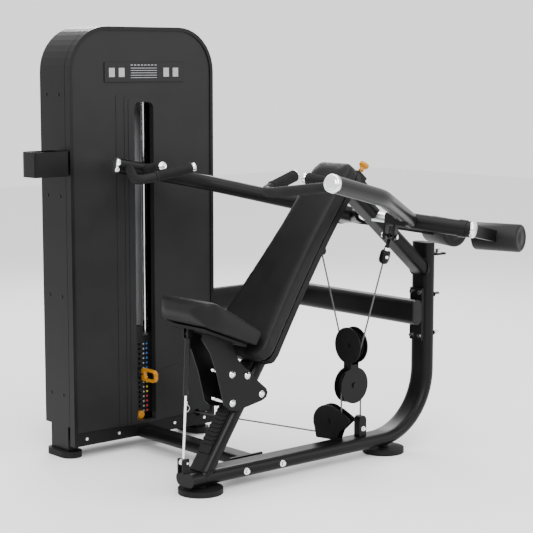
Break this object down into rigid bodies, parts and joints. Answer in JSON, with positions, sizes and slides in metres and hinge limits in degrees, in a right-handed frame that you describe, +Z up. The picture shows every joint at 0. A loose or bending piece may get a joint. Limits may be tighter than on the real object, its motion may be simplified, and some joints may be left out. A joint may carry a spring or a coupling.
{
  "type": "converging shoulder press machine",
  "caption": "Converging shoulder press machine with an inclined seat and backrest, twin counterweighted press arms, a cable and pulley drive and an enclosed weight tower.",
  "frame": {"origin": "centre of the footprint on the floor", "axes": "+X from the front foot to the rear post, +Y from the seat to the weight tower, +Z up"},
  "size_m": [1.7087, 1.4797, 1.632],
  "materials": {
    "powder_black": "satin powder coat",
    "panel_grey": "satin powder coat",
    "chrome": "polished",
    "iron_black": "textured paint",
    "rubber": "matt",
    "vinyl": "soft grain",
    "orange_plastic": "gloss",
    "black_plastic": "matt",
    "steel_cable": "coated wire rope"
  },
  "bodies": {
    "frame": {"base_beam": "powder_black", "rear_upright": "powder_black", "boom": "powder_black", "pivot_axles": "chrome", "floor_feet": "rubber", "cross_beam": "powder_black", "link_bar": "powder_black", "frame_brackets": "powder_black", "frame_bolts": "chrome", "tower_columns": "powder_black", "tower_crossbars": "powder_black", "side_shell": "powder_black", "front_frame": "powder_black", "front_panel": "panel_grey", "bottle_holder": "powder_black", "guide_rods": "chrome", "resting_plates": "iron_black", "stack_bumpers": "rubber", "stop_disc": "orange_plastic", "lift_cable": "steel_cable", "fixed_pulley_guard": "powder_black", "seat_post": "powder_black", "adjuster_housing": "powder_black"},
    "base_wheel": {"base_pulley": "black_plastic"},
    "side_top_wheel": {"side_top_pulley": "black_plastic"},
    "centre_top_wheel": {"centre_top_pulley": "black_plastic"},
    "fixed_wheel": {"fixed_pulley": "black_plastic"},
    "pulley_block": {"block_covers": "powder_black", "block_cable": "steel_cable"},
    "upper_wheel": {"block_upper_pulley": "black_plastic"},
    "lower_wheel": {"block_lower_pulley": "black_plastic"},
    "weight_stack": {"lifted_plates": "iron_black", "head_plate": "iron_black", "stack_cable": "steel_cable"},
    "selector": {"selector_pin": "chrome", "pin_handle": "orange_plastic", "lanyard": "rubber", "lanyard_clip": "chrome"},
    "seat": {"seat_carriage": "powder_black", "carriage_rollers": "chrome", "seat_pad": "vinyl"},
    "gas_tube": {"strut_tube": "black_plastic"},
    "gas_rod": {"strut_rod": "chrome"},
    "backrest": {"back_pad": "vinyl", "back_board": "powder_black"},
    "adjuster_pin": {"pop_pin": "orange_plastic"},
    "left_arm": {"left_arm_tube": "powder_black", "left_lever_bracket": "powder_black", "left_hub": "powder_black", "left_handles": "rubber", "left_end_caps": "chrome", "left_counterweight": "powder_black"},
    "left_yoke": {"left_cable_yoke": "powder_black"},
    "right_arm": {"right_arm_tube": "powder_black", "right_lever_bracket": "powder_black", "right_hub": "powder_black", "right_handles": "rubber", "right_end_caps": "chrome", "right_counterweight": "powder_black"},
    "right_yoke": {"right_cable_yoke": "powder_black"}
  },
  "joints": [
    {"name": "left_arm_press", "type": "hinge", "parent": "frame", "child": "left_arm", "pos_m": [0.277, -0.272, 0.912], "axis": [-0.45, 0.8871, 0.1029], "range_deg": [0, 42]},
    {"name": "right_arm_press", "type": "hinge", "parent": "frame", "child": "right_arm", "pos_m": [0.277, 0.028, 0.912], "axis": [0.45, 0.8871, -0.1029], "range_deg": [0, 42]},
    {"name": "left_yoke_swing", "type": "hinge", "parent": "left_arm", "child": "left_yoke", "pos_m": [0.117, -0.321, 0.872], "axis": [-0.45, 0.8871, 0.1029], "range_deg": [-42, 0]},
    {"name": "right_yoke_swing", "type": "hinge", "parent": "right_arm", "child": "right_yoke", "pos_m": [0.117, 0.077, 0.872], "axis": [0.45, 0.8871, -0.1029], "range_deg": [-42, 0]},
    {"name": "block_lift", "type": "slide", "parent": "frame", "child": "pulley_block", "axis": [0, 0, 1], "range_m": [0, 0.1205], "deforming": ["block_cable"]},
    {"name": "stack_lift", "type": "slide", "parent": "frame", "child": "weight_stack", "axis": [0, 0, 1], "range_m": [0, 0.241], "deforming": ["stack_cable"]},
    {"name": "upper_wheel_spin", "type": "hinge", "parent": "pulley_block", "child": "upper_wheel", "pos_m": [0.117, -0.122, 0.44], "axis": [1, 0, 0], "continuous": true},
    {"name": "lower_wheel_spin", "type": "hinge", "parent": "pulley_block", "child": "lower_wheel", "pos_m": [0.117, -0.122, 0.288], "axis": [0, 1, 0], "range_deg": [0, 139.08]},
    {"name": "fixed_wheel_spin", "type": "hinge", "parent": "frame", "child": "fixed_wheel", "pos_m": [0.05457, -0.07357, 0.15], "axis": [0.9686, 0.2487, 0], "range_deg": [0, 277.17]},
    {"name": "base_wheel_spin", "type": "hinge", "parent": "frame", "child": "base_wheel", "pos_m": [-0.11952, 0.60444, 0.15], "axis": [0.9686, 0.2487, 0], "range_deg": [0, 277.17]},
    {"name": "side_top_wheel_spin", "type": "hinge", "parent": "frame", "child": "side_top_wheel", "pos_m": [-0.18195, 0.65287, 1.53], "axis": [0, 1, 0], "range_deg": [-277.17, 0]},
    {"name": "centre_top_wheel_spin", "type": "hinge", "parent": "frame", "child": "centre_top_wheel", "pos_m": [-0.306, 0.65287, 1.53], "axis": [0, 1, 0], "range_deg": [-277.17, 0]},
    {"name": "selector_pull", "type": "slide", "parent": "weight_stack", "child": "selector", "axis": [0, -1, 0], "range_m": [0, 0.13]},
    {"name": "seat_height", "type": "slide", "parent": "frame", "child": "seat", "axis": [0.5592, 0, 0.829], "range_m": [-0.13, 0.01]},
    {"name": "strut_swing", "type": "hinge", "parent": "seat", "child": "gas_tube", "pos_m": [-0.663, -0.122, 0.572], "axis": [0, 1, 0], "range_deg": [-11.45, 1.16]},
    {"name": "strut_slide", "type": "slide", "parent": "gas_tube", "child": "gas_rod", "axis": [-0.0533, 0, -0.9986], "range_m": [-0.106, 0.0091]},
    {"name": "backrest_tilt", "type": "hinge", "parent": "frame", "child": "backrest", "pos_m": [-0.339, -0.122, 0.492], "axis": [0, -1, 0], "range_deg": [0, 5]},
    {"name": "adjuster_pull", "type": "slide", "parent": "frame", "child": "adjuster_pin", "axis": [0.6361, 0, 0.7716], "range_m": [0, 0.012], "stiffness_N_per_m": 400, "springref_m": -0.01}
  ],
  "couplings": [
    {"joint": "right_arm_press", "follows": "left_arm_press", "ratio": 1},
    {"joint": "left_yoke_swing", "follows": "left_arm_press", "ratio": -1},
    {"joint": "right_yoke_swing", "follows": "left_arm_press", "ratio": -1},
    {"joint": "block_lift", "follows": "left_arm_press", "m_per_rad": 0.16438},
    {"joint": "stack_lift", "follows": "left_arm_press", "m_per_rad": 0.32877},
    {"joint": "strut_swing", "follows": "seat_height", "rad_per_m": 1.4971},
    {"joint": "strut_slide", "follows": "seat_height", "ratio": 0.80744},
    {"joint": "lower_wheel_spin", "follows": "left_arm_press", "ratio": 3.2877},
    {"joint": "fixed_wheel_spin", "follows": "left_arm_press", "ratio": 6.5754},
    {"joint": "base_wheel_spin", "follows": "left_arm_press", "ratio": 6.5754},
    {"joint": "side_top_wheel_spin", "follows": "left_arm_press", "ratio": -6.5754},
    {"joint": "centre_top_wheel_spin", "follows": "left_arm_press", "ratio": -6.5754}
  ]
}
